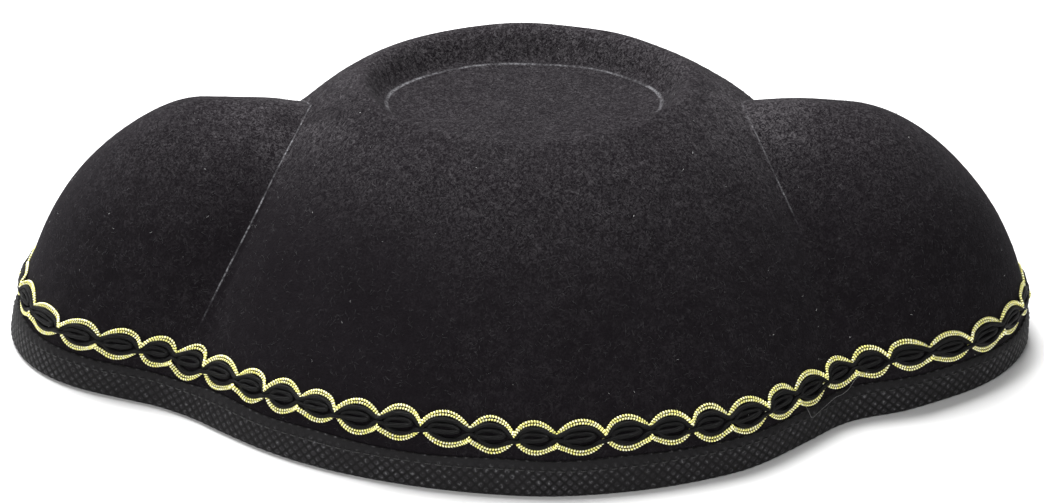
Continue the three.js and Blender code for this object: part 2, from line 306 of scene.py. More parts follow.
# %% A socket that does arithmetic
class Signal:
    """A shader socket that carries one number, colour or vector."""

    def __init__(self, finish, socket):
        self.finish, self.socket = finish, socket

    def math(self, operation, *others):
        values = dict(enumerate([self, *others]))
        return self.finish.add("ShaderNodeMath", {"operation": operation}, values)

    def __add__(self, other):
        return self.math("ADD", other)

    def __mul__(self, other):
        return self.math("MULTIPLY", other)

    def __sub__(self, other):
        return self.math("SUBTRACT", other)

    def __rsub__(self, other):
        return self.finish.add("ShaderNodeMath", {"operation": "SUBTRACT"}, {0: other, 1: self})

    def __abs__(self):
        return self.math("ABSOLUTE")

    __radd__ = __add__
    __rmul__ = __mul__

    def sine(self):
        return self.math("SINE")

    def wave(self, period):
        """Sine wave from -1 to 1 with a period in millimetres."""
        return (self * (2 * np.pi / (period * MM))).sine()

    def step(self, start, end):
        """Rises smoothly from 0 at start to 1 at end, or falls where end is the smaller."""
        low, high = sorted([start, end])
        values = {"Value": self, "From Min": low, "From Max": high}
        values |= {"To Min": float(start > end), "To Max": float(start < end)}
        settings = {"interpolation_type": "SMOOTHSTEP"}
        return self.finish.add("ShaderNodeMapRange", settings, values)


class Finish:
    """A material. Its constants are set on the shader's own sockets."""

    def __init__(self, name, **constants):
        self.material = bpy.data.materials.new(name)
        self.material.use_nodes = True
        self.tree = self.material.node_tree
        self.shader = self.tree.nodes["Principled BSDF"]
        for key, value in constants.items():
            self.shader.inputs[key.replace("_", " ")].default_value = value

    def add(self, kind, settings, values, output=0):
        """A node of any type: its settings first, then each socket's value or signal."""
        node = self.tree.nodes.new(kind)
        for key, value in settings.items():
            setattr(node, key, value)
        for key, value in values.items():
            if isinstance(value, Signal):
                self.tree.links.new(value.socket, node.inputs[key])
            else:
                node.inputs[key].default_value = value
        return Signal(self, node.outputs[output])

    def place(self):
        """Object coordinates, in metres."""
        return self.add("ShaderNodeTexCoord", {}, {}, "Object")

    def part(self, vector, axis):
        return self.add("ShaderNodeSeparateXYZ", {}, {"Vector": vector}, axis)

    def along(self):
        """Metres along the piece and across it, from its own UV map."""
        both = self.add("ShaderNodeUVMap", {"uv_map": "UVMap"}, {})
        return self.part(both, 0), self.part(both, 1)

    def attribute(self, name):
        settings = {"attribute_type": "GEOMETRY", "attribute_name": name}
        return self.add("ShaderNodeAttribute", settings, {}, "Fac")

    def noise(self, vector, size, detail=2.0, roughness=0.5, distortion=0.0):
        """Noise from 0 to 1 whose lumps are about a size in millimetres across."""
        values = {"Vector": vector, "Scale": 1 / (size * MM), "Detail": detail}
        values |= {"Roughness": roughness, "Distortion": distortion}
        return self.add("ShaderNodeTexNoise", {}, values)

    def stretch(self, vector, x=1.0, y=1.0, z=1.0):
        """Squeezes a pattern's coordinates, which draws the pattern out along an axis."""
        settings = {"operation": "MULTIPLY"}
        return self.add("ShaderNodeVectorMath", settings, {0: vector, 1: (x, y, z)})

    def mix(self, factor, first, second):
        """Colour that goes from first to second as the factor goes from 0 to 1."""
        settings = {"data_type": "RGBA", "clamp_factor": True}
        return self.add("ShaderNodeMix", settings, {0: factor, 6: first, 7: second}, 2)

    def bump(self, height, depth, strength=1.0):
        """Normal of a surface whose height signal is worth a depth in millimetres."""
        values = {"Height": height, "Distance": depth * MM, "Strength": strength}
        return self.add("ShaderNodeBump", {}, values)

    def wear(self, **signals):
        """Links signals to the shader's sockets, and gives the material."""
        for key, signal in signals.items():
            self.tree.links.new(signal.socket, self.shader.inputs[key.replace("_", " ")])
        return self.material


def grey(level, red=0.0, blue=0.0):
    """A grey with a little more red or blue in it."""
    return (level + red, level, level + blue, 1.0)


# %% [markdown]
# ## Felt
# Wool felt is a mat of tangled fibres. Dyed black it swallows light, and what shows is a fine
# pale fuzz, thin pale lines where the felt was pressed into a crease, and worn patches where
# the hat is handled. The lines use the distances to crease and dent that the mesh carries,
# so they stay sharp at any distance. Everything else is noise on object coordinates, and the
# amount of fuzz is also painted light: more of it towards the top and on the rim behind the
# dent paints them paler, and less of it on the front of the left side is painted shade.

# %% Felt finish
def felt_finish():
    felt = Finish(
        "black_felt",
        Roughness=0.95,
        Specular_IOR_Level=0.025,
        Sheen_Weight=0.02,
        Sheen_Roughness=0.5,
        Sheen_Tint=(0.75, 0.73, 0.78, 1.0),
    )
    place = felt.place()
    x, y, z = (felt.part(place, axis) for axis in range(3))
    cloud = felt.noise(place, 16, 4, 0.6)
    patch = felt.noise(place, 4.5, 3, 0.6)
    tangle = felt.noise(place, 1.5, 6, 0.75, 1.8)
    nap = felt.noise(felt.stretch(place, 1, 1, 0.3), 0.8, 3, 0.6, 0.8)
    speck = felt.noise(place, 0.55, 1, 0.5)
    # Painted light: the felt is painted paler towards the top, where it takes more fuzz.
    high = z.step(50 * MM, 92 * MM)
    notch = felt.add(
        "ShaderNodeVectorMath",
        {"operation": "DISTANCE"},
        {
            0: felt.add("ShaderNodeCombineXYZ", {}, {"X": abs(x), "Y": y, "Z": z}),
            1: (73 * MM, -6 * MM, 85 * MM),
        },
        "Value",
    )
    worn = notch.step(38 * MM, 3 * MM) * cloud.step(0.3, 0.65)
    fuzz_and_painted_light = tangle.step(0.44, 0.68) * 0.65 + nap.step(0.42, 0.74) * 0.35
    to_dent = felt.attribute("to_dent")
    # Painted light: more fuzz on the slope behind the dent paints it paler.
    painted_light_back_rim = to_dent.step(-1, 5) * to_dent.step(18, 9) * y.step(-8 * MM, 16 * MM)
    # Painted shade: less fuzz on the front of the left side paints it darker.
    painted_shade_front_left = x.step(-108 * MM, -80 * MM) * x.step(-10 * MM, -40 * MM) * z.step(84 * MM, 60 * MM)
    share = 0.03 + patch.step(0.3, 0.7) * 0.25 + cloud * 0.08 + high * 0.62 + worn * 1.1
    fuzz_and_painted_light = fuzz_and_painted_light * (share + painted_light_back_rim * 0.55) * (1 - painted_shade_front_left * 0.6)

    breaks = felt.noise(place, 5, 3).step(0.34, 0.62)
    fleck = felt.noise(place, 0.9, 2).step(0.35, 0.65)
    crease = abs(felt.attribute("to_crease")).step(0.45, 0.05) * z.step(26 * MM, 46 * MM)
    crease = crease * z.step(89 * MM, 83 * MM) * (0.2 + breaks * 0.7)
    crease = crease * (1 - x.step(0, 12 * MM) * (1 - z.step(56 * MM, 72 * MM) * 0.6))
    dent = abs(to_dent - 0.25).step(0.5, 0.05)
    dent = dent * (0.12 + breaks * 0.4) * y.step(-26 * MM, 8 * MM)
    line = (crease + dent) * (0.2 + fleck * 0.8)

    colour = felt.mix(cloud, grey(0.0034, 0.0009, 0.0009), grey(0.0056, 0.0011, 0.0013))
    colour = felt.mix(fuzz_and_painted_light, colour, grey(0.054, 0.004, 0.004))
    colour = felt.mix(line * 0.8, colour, grey(0.26, 0, 0.014))
    colour = felt.mix(speck.step(0.8, 0.84) * 0.7, colour, grey(0.3))
    relief = tangle * 0.6 + nap * 0.4 + speck * 0.25
    return felt.wear(Base_Color=colour, Normal=felt.bump(relief, 0.4, 1.0))


FELT = felt_finish()
print("made", FELT.name, "with", len(FELT.node_tree.nodes), "nodes")


# %% [markdown]
# ## Felt body
# The crown's front and back and the two lobes are separate patches of one grid, cut exactly
# at the creases, so that the fold between them stays crisp. Rows are level cuts through the
# hat, and above the lobes the rows go on as full rings: over the crest, down the dent and in
# to the middle of its floor. The patches are welded, the crest and folds are relaxed a little
# as steamed felt is, and a Solidify modifier gives the wall its thickness.

# %% Rows and columns of the felt
WALL_ROWS = 52
FRONT_COLUMNS = 180
LOBE_COLUMNS = 110
CREST_SPARE = 1.0  # height that the crest loses again when it is relaxed


def gathered(count, gather=0.75):
    """Shares from 0 to 1 that crowd towards both ends: x - g sin(2 pi x) / (2 pi)."""
    x = np.linspace(0, 1, count + 1)
    return x - gather * np.sin(2 * np.pi * x) / (2 * np.pi)


def crease_angle(height):
    """Angle from the X axis at which crown and lobe reach equally far, found by halving."""
    low, high = np.full_like(height, 1e-7), np.full_like(height, np.pi / 2)
    for _ in range(40):
        guess = (low + high) / 2
        inside = lobe_radius(guess, height) > crown_radius(guess, height)
        low, high = np.where(inside, guess, low), np.where(inside, high, guess)
    return (low + high) / 2


k = np.cos(np.linspace(0, 1, WALL_ROWS + 1) * np.pi / 2)
k[-1] = 1e-4
heights = LOBE_HEIGHT * (1 - k ** LOBE_POWERS[1]) ** (1 / LOBE_POWERS[0])
heights = FELT_BOTTOM + (heights - heights[0]) * (1 - FELT_BOTTOM / LOBE_HEIGHT)
creases = crease_angle(heights)
print("the crease turns from", np.round(np.degrees(creases[[0, -1]]), 1), "degrees, bottom to top")


# %% Patches of the felt
def crown_patch(turn):
    """Front or back of the crown, from one crease to the other."""
    share = gathered(FRONT_COLUMNS)
    angle = turn + creases[:, None] + (np.pi - 2 * creases[:, None]) * share
    points = outline(angle, heights[:, None])
    length = measured(points)
    return points, np.minimum(length, length[:, -1:] - length)


def lobe_patch(turn):
    """A lobe from crease to crease, with its columns an even length apart in each row."""
    fine = creases[:, None] * np.linspace(-1, 1, 3001)
    length = measured(outline(fine + turn, heights[:, None]))
    share = gathered(LOBE_COLUMNS, 0.4)
    angle = np.array([np.interp(share * s[-1], s, a) for s, a in zip(length, fine)])
    points = outline(angle + turn, heights[:, None])
    length = measured(points)
    return points, -np.minimum(length, length[:, -1:] - length)


def crown_top(first_ring):
    """Rings above the lobes: up to the crest, down the dent and across its floor.

    The wall rises as the crown's formula says, a little less towards the front. Down the dent
    the half axes shrink evenly, and the depth is the mean of a full cosine wave and a quarter
    of one, so that the slope starts level at the crest and meets the floor at an angle."""
    angle = np.unwrap(np.arctan2(first_ring[:, 1], first_ring[:, 0]))
    drop = LIP_DROP * ramp(np.sin(angle), 0, -1) ** 1.5
    tilt = -FLOOR_TILT * np.sin(angle)
    start = spread(LOBE_HEIGHT, CROWN_HEIGHT, CROWN_POWERS)
    k = start * np.linspace(1, 0, 13)[1:]
    rise = CROWN_HEIGHT * (1 - k ** CROWN_POWERS[1]) ** (1 / CROWN_POWERS[0])
    rise = rise + CREST_SPARE * (1 - k / start)
    share = (rise - LOBE_HEIGHT) / (rise[-1] - LOBE_HEIGHT)
    rise = rise[:, None] - share[:, None] * drop
    half = CREST_HALF + (CROWN_HALF - CREST_HALF) * k[:, None]
    down = np.linspace(0, 1, 13)[1:, None]
    fall = 0.75 - np.cos(np.pi * down) / 4 - np.cos(np.pi * down / 2) / 2
    half = np.vstack([half, CREST_HALF + (DENT_HALF - CREST_HALF) * down])
    crest = CROWN_HEIGHT + CREST_SPARE * (1 - down) - drop
    inner = np.linspace(1, 0, 18)[1:, None]
    half = np.vstack([half, DENT_HALF * np.maximum(inner, 1e-6)])
    floor = CROWN_HEIGHT - DENT_DEPTH + tilt * inner + 0.7 * (1 - inner**2)
    level = np.vstack([rise, crest - (DENT_DEPTH - drop - tilt) * fall, floor])
    forward = DENT_FORWARD * np.concatenate([0 * k, down[:, 0], np.ones(len(inner))])[:, None]
    x, y = half[:, :1] * np.cos(angle), half[:, 1:] * np.sin(angle) - forward
    return np.concatenate([first_ring[None], np.stack([x, y, level], axis=-1)])


def oval_distance(points, half):
    """How far points lie outside an oval, roughly: (1 - 1/q) times their own radius."""
    q = np.hypot(points[..., 0] / half[0], points[..., 1] / half[1])
    return (1 - 1 / np.maximum(q, 1e-6)) * np.hypot(points[..., 0], points[..., 1])


back, back_crease = crown_patch(0.0)
front, front_crease = crown_patch(np.pi)
right, right_crease = lobe_patch(0.0)
left, left_crease = lobe_patch(np.pi)
top = crown_top(np.concatenate([back[-1, :-1], front[-1, :-1]]))
notch = np.array([back[-1, 0, 0], 0, LOBE_HEIGHT])
top_crease = np.linalg.norm(np.abs(top) - notch, axis=-1)
top_crease[0] = np.concatenate([back_crease[-1, :-1], front_crease[-1, :-1]])
print("patches:", [p.shape[:2] for p in (back, front, right, left, top)])


# %% Weld and relax the felt
def join_patches(patches, closed):
    """Points and faces of several grids in one list. Only patches marked closed wrap round."""
    points, faces, start = [], [], 0
    for patch, wraps in zip(patches, closed):
        rows, columns = patch.shape[:2]
        faces.append(grid_faces(rows, columns, close_columns=wraps)[0] + start)
        points.append(patch.reshape(-1, 3))
        start += rows * columns
    return np.concatenate(points), np.concatenate(faces)


def relax(points, edges, mask, rounds):
    """Moves each point towards the mean of its neighbours, by half of its mask each round."""
    ends = np.concatenate([edges, edges[:, ::-1]])
    degree = np.bincount(ends[:, 0], minlength=len(points))[:, None]
    for _ in range(rounds):
        total = np.stack(
            [np.bincount(ends[:, 0], points[ends[:, 1], a], len(points)) for a in range(3)], axis=1
        )
        points = points + 0.5 * mask[:, None] * (total / degree - points)
    return points


def read(collection, key, width, kind=np.float32):
    """One property of every item of a mesh's collection, as an array."""
    values = np.zeros(len(collection) * width, kind)
    collection.foreach_get(key, values)
    return values.reshape(-1, width) if width > 1 else values


def felt_body():
    points, faces = join_patches([back, front, right, left, top], [False] * 4 + [True])
    is_top = np.arange(len(points)) >= len(points) - top[..., 0].size
    to_crease = np.concatenate(
        [a.ravel() for a in (back_crease, front_crease, right_crease, left_crease, top_crease)]
    )
    to_dent = np.where(is_top, oval_distance(points + [0, DENT_FORWARD, 0], DENT_HALF), 99)
    to_rim = np.where(points[:, 2] > LOBE_HEIGHT - 1, oval_distance(points, CREST_HALF), 99)
    piece = add_mesh(
        "felt_shell", points, faces, to_crease=to_crease, to_dent=to_dent, to_rim=to_rim
    )
    mesh = piece.data
    weld([mesh], 0.02, lambda m: bmesh.ops.dissolve_degenerate(m, edges=m.edges, dist=WELD * MM))
    points = read(mesh.vertices, "co", 3).astype(float) / MM
    edges = read(mesh.edges, "vertices", 2, np.int32)
    crease, dent, rim = (
        read(mesh.attributes[key].data, "value", 1) for key in ("to_crease", "to_dent", "to_rim")
    )
    soft = np.exp(-((crease / 1.5) ** 2)) * 0.5 + np.exp(-((rim / 5.5) ** 2))
    soft = np.clip(soft + 0.3 * np.exp(-((dent / 1.2) ** 2)), 0, 1) * (points[:, 2] > 3)
    points = handmade(relax(points, edges, soft, 24))
    mesh.vertices.foreach_set("co", (points * MM).astype(np.float32).ravel())
    mesh.attributes.remove(mesh.attributes["to_rim"])
    mesh.shade_smooth()
    mesh.update()
    wall = piece.modifiers.new("felt thickness", "SOLIDIFY")
    wall.thickness = FELT_THICKNESS * MM
    wall.offset = -1
    wall.use_even_offset = True
    return piece


felt = felt_body()
finish_piece(felt, ["felt_body"], FELT)


# %% [markdown]
# ## Loose fibres
# Close to, felt is never bare: short fibres stand off it and catch the light along every
# edge. Each is a thin three-sided spike with a bend in it. They are scattered by area over
# the outer face, lie mostly along it, and point any way round.

# %% Scatter points over the felt
SPIKE_SIDES = 3
SPIKE_POINTS = 2 * SPIKE_SIDES + 1


def scatter(piece, count):
    """Random points on a mesh, evenly by area, with the face's normal and a random tangent."""
    mesh = piece.data
    mesh.calc_loop_triangles()
    corners = read(mesh.loop_triangles, "vertices", 3, np.int32)
    a, b, c = (read(mesh.vertices, "co", 3).astype(float)[corners[:, i]] / MM for i in range(3))
    normal = np.cross(b - a, c - a)
    area = np.linalg.norm(normal, axis=1)
    pick = np.searchsorted(np.cumsum(area) / area.sum(), random.random(count))
    u, v = np.sqrt(random.random(count)), random.random(count)
    points = (
        (1 - u)[:, None] * a[pick]
        + (u * (1 - v))[:, None] * b[pick]
        + (u * v)[:, None] * c[pick]
    )
    normal = normal[pick] / area[pick, None]
    spin = unit(np.cross(normal, random.normal(size=(count, 3))))
    return points, normal, spin


def spikes(roots, normal, heading, length, thick, lift):
    """Bent three-sided spikes: a ring of three at the root, three at the bend and a tip.

    The bend lies half way along the heading and a lift outwards, and the tip drops back."""
    count = len(roots)
    side = np.cross(normal, heading)
    bend = roots + 0.5 * length * heading + lift * normal
    sway = random.normal(size=(count, 1)) * 0.25 * length
    tip = roots + length * heading + 0.7 * lift * normal + sway * side
    ring = rings(SPIKE_SIDES, side, normal)
    rows = [roots[:, None] + thick[:, None] * ring, bend[:, None] + 0.8 * thick[:, None] * ring]
    points = np.concatenate([*rows, tip[:, None]], axis=1)
    quads = [[i, (i + 1) % 3, 3 + (i + 1) % 3, 3 + i] for i in range(3)]
    ends = [[3 + i, 3 + (i + 1) % 3, 6] for i in range(3)] + [[2, 1, 0]]
    start = np.arange(count)[:, None, None] * SPIKE_POINTS
    quads = (np.array(quads) + start).reshape(-1, 4)
    ends = (np.array(ends) + start).reshape(-1, 3)
    return points, quads, ends


print("helpers for fibres ready")


# %% Fibre finish
def fibre_finish():
    fibre = Finish("felt_fibre", Roughness=0.7, Specular_IOR_Level=0.3)
    pale = fibre.attribute("pale")
    tone = fibre.noise(fibre.place(), 6)
    colour = fibre.mix(tone, grey(0.012), grey(0.07, 0.001, 0.004))
    return fibre.wear(Base_Color=fibre.mix(pale, colour, grey(0.6)))


FIBRE = fibre_finish()


# %% Fibres and lint
FIBRES = 14000
LINT = 110


def loose_fibres():
    roots, normal, heading = scatter(felt, FIBRES)
    keep = roots[:, 2] > TAPE_TOP
    roots, normal, heading = roots[keep], normal[keep], heading[keep]
    count = len(roots)
    pale = np.arange(count) < LINT
    length = random.uniform(0.7, 2.4, (count, 1))
    length[pale] = random.uniform(0.3, 1.1, (LINT, 1))
    thick = np.where(pale, random.uniform(0.05, 0.09, count), random.uniform(0.02, 0.035, count))
    lift = random.uniform(0.05, 0.55, (count, 1))
    lift[pale] = 0.12
    points, quads, ends = spikes(roots, normal, heading, length, thick[:, None], lift)
    piece = add_mesh("felt_fibres", points, quads, pale=np.repeat(pale, SPIKE_POINTS))
    tips = bpy.data.meshes.new("tips")
    tips.from_pydata((points.reshape(-1, 3) * MM).tolist(), [], ends.tolist())
    weld([piece.data, tips], WELD)
    bpy.data.meshes.remove(tips)
    return piece


finish_piece(loose_fibres(), [], FIBRE)


# %% [markdown]
# ## Edge binding
# The raw edge is bound with a soft tape, folded over it and stitched through. A heated
# roller has pressed a lattice of diamonds into the tape. The section is a U of two flaps and
# a round fold, carried round the wall, and the lattice lifts it by the product of two waves:
# |sin(pi (s/p + t/q))| times |sin(pi (s/p - t/q))|, which is zero along both diagonals.

# %% Tape finish
DIAMOND_LONG = 3.35  # along the tape
DIAMOND_HIGH = 3.26  # across the tape


def tape_finish():
    tape = Finish("pressed_tape", Specular_IOR_Level=0.16, Sheen_Weight=0.015)
    s, t = tape.along()
    a = s * (1 / (DIAMOND_LONG * MM)) + t * (1 / (DIAMOND_HIGH * MM))
    b = s * (1 / (DIAMOND_LONG * MM)) - t * (1 / (DIAMOND_HIGH * MM))
    pillow = abs((a * np.pi).sine()) * abs((b * np.pi).sine())
    threads = s.wave(0.28) * t.wave(0.28)
    rubbed = tape.noise(tape.place(), 14, 4, 0.6).step(0.3, 0.7)
    fleck = tape.noise(tape.place(), 0.8, 3)
    shown = (0.5 + rubbed * 0.5) * t.step(0.4 * MM, 3.5 * MM)
    crown = pillow.step(0.04, 0.7) * shown + (1 - shown) * 0.45
    colour = tape.mix(
        rubbed * 0.5 + fleck * 0.5, grey(0.004, 0.001, 0.001), grey(0.013, 0.001, 0.002)
    )
    colour = tape.mix(crown, grey(0.0015), colour)
    # Painted highlight: pale flecks on the tops of the pillows.
    painted_pillow_highlight = fleck.step(0.5, 0.68) * pillow.step(0.4, 0.95) * shown
    colour = tape.mix(painted_pillow_highlight, colour, grey(0.10, 0, 0.004))
    relief = pillow * shown * 0.7 + threads * 0.06 + fleck * 0.25
    rough = 0.75 - crown * 0.2
    return tape.wear(Base_Color=colour, Roughness=rough, Normal=tape.bump(relief, 0.35, 0.9))


TAPE = tape_finish()


# %% Tape section
def tape_section():
    """The tape's closed section, from its outer top edge down, round the fold and back.

    Each point is (out, height), and with it come its normal, its length along the outer
    side, and how much of the pressed pattern it takes."""
    fold_middle = (TAPE_OUT + TAPE_IN) / 2
    fold = (TAPE_OUT - TAPE_IN) / 2
    inside = fold - TAPE_THICKNESS
    down = np.linspace(TAPE_TOP - 0.25, fold, 23)
    hug = 0.55 * ramp(down, TAPE_TOP - 3, TAPE_TOP) ** 2
    up = np.linspace(fold, TAPE_INNER_TOP - 0.3, 11)[1:]
    turn = np.linspace(0, np.pi, 9)[1:]
    out = np.concatenate([TAPE_OUT - hug, fold_middle + fold * np.cos(turn)])
    out = np.concatenate([out, np.full(10, TAPE_IN)])
    height = np.concatenate([down, fold - fold * np.sin(turn), up])
    normal_out = np.concatenate([np.ones(len(down)), np.cos(turn), -np.ones(10)])
    normal_up = np.concatenate([np.zeros(len(down)), -np.sin(turn), np.zeros(10)])
    shown = len(out)
    hem_in = [[TAPE_IN + 0.25, TAPE_INNER_TOP], [TAPE_IN + TAPE_THICKNESS, TAPE_INNER_TOP - 0.1]]
    turn = np.linspace(np.pi, 0, 7)
    hidden = np.stack([fold_middle + inside * np.cos(turn), fold - inside * np.sin(turn)], axis=1)
    hem_out = [[0.02, TAPE_TOP - 0.1], [TAPE_OUT - 0.75, TAPE_TOP]]
    rest = np.concatenate([hem_in, hidden, hem_out])
    points = np.concatenate([np.stack([out, height], axis=1), rest])
    normals = np.zeros_like(points)
    normals[:shown] = np.stack([normal_out, normal_up], axis=1)
    pressed = np.zeros(len(points))
    pressed[:shown] = 1
    pressed[[0, shown - 1]] = 0.3
    return points, normals, measured(points), pressed


section, section_normal, section_length, section_pressed = tape_section()
print("tape section has", len(section), "points, and is", round(section_length[-1], 1), "mm round")


# %% Edge binding
TAPE_STEP = 0.5
LAP = 11.0  # how far the tape's end laps over its start, at the back


def pressed_height(s, t):
    """Height of the diamond lattice, from 0 along its lines to 1 in the middle."""
    a, b = s / DIAMOND_LONG + t / DIAMOND_HIGH, s / DIAMOND_LONG - t / DIAMOND_HIGH
    return np.abs(np.sin(np.pi * a)) * np.abs(np.sin(np.pi * b))


def edge_binding():
    total, angle_at = around(TAPE_TOP / 2)
    columns = int(total / TAPE_STEP)
    s = np.arange(columns) * total / columns
    cells = np.round(total / DIAMOND_LONG) * DIAMOND_LONG / total
    angle = angle_at(s)[None]
    waver = 0.35 * np.sin(s / 17) + 0.25 * np.sin(s / 7.3 + 1)
    height = section[:, 1:] + ramp(section[:, 1:], 0, TAPE_TOP) ** 4 * waver
    lattice = pressed_height(s * cells, section_length[:, None]) * section_pressed[:, None]
    lap = 0.55 * ramp(s, LAP, LAP - 0.6) * ramp(s, 0, 6)
    lift = 0.3 * (lattice**0.7 - 0.6) + lap * section_pressed[:, None]
    lift = lift * np.minimum(np.abs(section_normal).sum(axis=1), 1)[:, None]
    lift = np.where(section_normal[:, 1:] < 0, lift * ramp(height, 0.35, 1.15), lift)
    out = section[:, :1] + lift * section_normal[:, :1]
    height = np.maximum(height + lift * section_normal[:, 1:], 0)
    points = handmade(outline(angle, height) + out[..., None] * wall_normal(angle, height))
    faces, row, column = grid_faces(len(section), columns, True, True)
    across = np.append(section_length, section_length[-1] + 0.3)[row]
    uv = np.stack([column * total / columns * cells, across], axis=-1)
    return add_mesh("edge_tape", points, faces[:, ::-1], uv[:, ::-1])


finish_piece(edge_binding(), ["edge_binding"], TAPE)


# %% [markdown]
# ## Stitches
# A stitch is a short thread that dives into the cloth at both ends. It is modelled as a small
# capsule of six sides, arched along the seam, and one function sews any row: it needs only a
# function that gives a point for a length along the seam.

# %% Thread finish
def thread_finish(name, colour):
    thread = Finish(name, Roughness=0.55, Specular_IOR_Level=0.4)
    s, t = thread.along()
    ply = (s * (2 * np.pi / (0.5 * MM)) + t * 7000).sine()
    shade = ply * 0.4 + thread.noise(thread.place(), 4) * 0.6
    body = thread.mix(shade, colour, tuple(min(3 * c + 0.01, 1) for c in colour))
    return thread.wear(Base_Color=body, Normal=thread.bump(ply, 0.08, 0.7))


BLACK_THREAD = thread_finish("black_thread", grey(0.008))
PALE_THREAD = thread_finish("pale_thread", grey(0.45, 0.03, -0.03))
STRAY_THREAD = thread_finish("grey_thread", grey(0.11))

# %% Sewing a row
STITCH_RINGS = 7
STITCH_SIDES = 6
SEAM_RADIUS = 0.17
TAPE_STITCH, TAPE_PITCH = 2.3, 3.3  # length of a stitch, and from one to the next
BAND_STITCH, BAND_PITCH = 2.3, 3.2


def sew(name, place, outwards, starts, length, radius):
    """One capsule for each start. Its ring radius is r sqrt(1 - x^4) and its arch falls by
    x^2, where x runs from -1 to 1 along the stitch."""
    x = np.linspace(-0.97, 0.97, STITCH_RINGS)
    s = (starts[:, None] + (x + 1) / 2 * length).ravel()
    centres, out = place(s), outwards(s)
    ahead = unit(place(s + 0.05) - place(s - 0.05))
    across = np.cross(out, ahead)
    arch = np.tile(-1.3 * radius * x**2, len(starts))[:, None]
    ring = np.tile(radius * np.sqrt(1 - x**4), len(starts))[:, None, None]
    points = (centres + arch * out)[:, None] + ring * rings(STITCH_SIDES, across, out)
    each = STITCH_RINGS * STITCH_SIDES
    faces, row, column = grid_faces(STITCH_RINGS, STITCH_SIDES, close_columns=True)
    caps = np.array([[3, 2, 1, 0], [5, 4, 3, 0], [0, 1, 2, 3], [0, 3, 4, 5]])
    caps[2:] += each - STITCH_SIDES
    uv = np.stack([row * length / STITCH_RINGS, column * radius], axis=-1)
    uv = np.concatenate([uv, np.zeros((4, 4, 2))])
    faces = np.concatenate([faces, caps])
    faces = (faces + np.arange(len(starts))[:, None, None] * each).reshape(-1, 4)
    return add_mesh(name, points, faces, np.tile(uv, (len(starts), 1, 1)))


def on_wall(angle_at, height, out):
    """Functions that give a point and the way out, for a length along a seam on the wall.
    The height is a function of that length too."""

    def place(s):
        angle, level = angle_at(s), height(s)
        return handmade(outline(angle, level) + out * wall_normal(angle, level))

    return place, lambda s: wall_normal(angle_at(s), height(s))


def seam_on_tape(name, node, out, sign):
    """A row of stitches through the tape, at the height of its CAD thread. The sign is 1 on
    the outside and -1 inside."""
    level = middle(node)[2]
    total, angle_at = around(level)
    count = int(total / TAPE_PITCH)
    starts = np.arange(count) * total / count
    place, outwards = on_wall(angle_at, lambda s: np.full_like(s, level), out + 0.12 * sign)
    seam = sew(name, place, lambda s: sign * outwards(s), starts, TAPE_STITCH, SEAM_RADIUS)
    finish_piece(seam, [node], BLACK_THREAD)


seam_on_tape("edge_tape_stitches", "binding_stitch_outer", TAPE_OUT, 1)
seam_on_tape("edge_tape_stitches_inside", "binding_stitch_inner", TAPE_IN, -1)


# %% Stray thread
STRAY_RADIUS = 0.055
STRAY_SIDES = 5


def stray_thread():
    """A pale end of sewing thread that lies across the trim, drawn through a few bends."""
    bends = np.radians([-37.6, -36.9, -36.2, -34.3, -32.4, -30.6, -29.2, -28.0, -26.6, -24.6])
    levels = np.array([16.5, 12.5, 8.8, 10.2, 11.6, 12.2, 12.0, 13.2, 16.0, 17.5])
    t = np.linspace(0, len(bends) - 1, 90)
    soft = [np.interp(t, np.arange(len(bends)), v) for v in (bends, levels)]
    angle, level = (np.convolve(np.pad(v, 3, "edge"), np.ones(7) / 7, "valid") for v in soft)
    rise = 0.5 + 0.25 * np.sin(t * 1.9)
    normal = wall_normal(angle, level)
    centres = handmade(outline(angle, level) + (TAPE_OUT + rise)[:, None] * normal)
    ahead = unit(np.gradient(centres, axis=0))
    ring = rings(STRAY_SIDES, unit(np.cross(normal, ahead)), normal)
    thick = STRAY_RADIUS * np.clip(np.minimum(t, t[-1] - t) * 4, 0.05, 1)[:, None, None]
    faces, row, column = grid_faces(len(t), STRAY_SIDES, close_columns=True)
    uv = np.stack([row * 0.4, column * 0.07], axis=-1)
    return add_mesh("stray_thread", centres[:, None] + thick * ring, faces, uv)


finish_piece(stray_thread(), [], STRAY_THREAD)


# %% [markdown]
# ## Scroll braid
# The braid is plaited from pairs of gold strands and black gimp cords. At each eye the gold
# swings out above and below, with the gimp lying inside it and curling back in the middle.
# Between two eyes everything closes up. There the gold pairs take turns: on one side the pair
# dips over the gimp and shows as a bright point, and on the other it passes under.
# All the cords are functions of one station along the braid, counted in eyes.

# %% Braid layout
EYES = 60
GOLD_CREST = 5.2  # middle line to the outer strand at the widest part of an eye
STRAND_GAP = 0.96
STRAND_RADIUS = 0.43
GIMP_RADIUS = 0.82
# Where the knots from number 17 on lie, from the middle of the front: the eyes are uneven.
FRONT_KNOTS = np.array(
    [-187.2, -169.9, -154.0, -139.0, -127.0, -114.2, -98.7, -86.3, -73.0, -59.4, -44.6, -30.7]
    + [-15.2, -1.0, 12.5, 28.1, 42.7, 56.4, 69.7, 84.0, 96.1, 109.9, 122.7, 135.2, 149.5]
    + [164.8, 180.2]
)
# How far the braid was sewn above its middle line, at lengths from the middle of the front.
DRIFT_AT = [-187, -154, -120, -92, -60, -30, 0, 45, 75, 105, 137, 165, 187]
DRIFT_UP = [0.9, 0.9, -0.2, 0.7, 1.9, 2.1, 0.8, 0.5, -0.7, -0.4, 1.5, -0.2, 0.3]

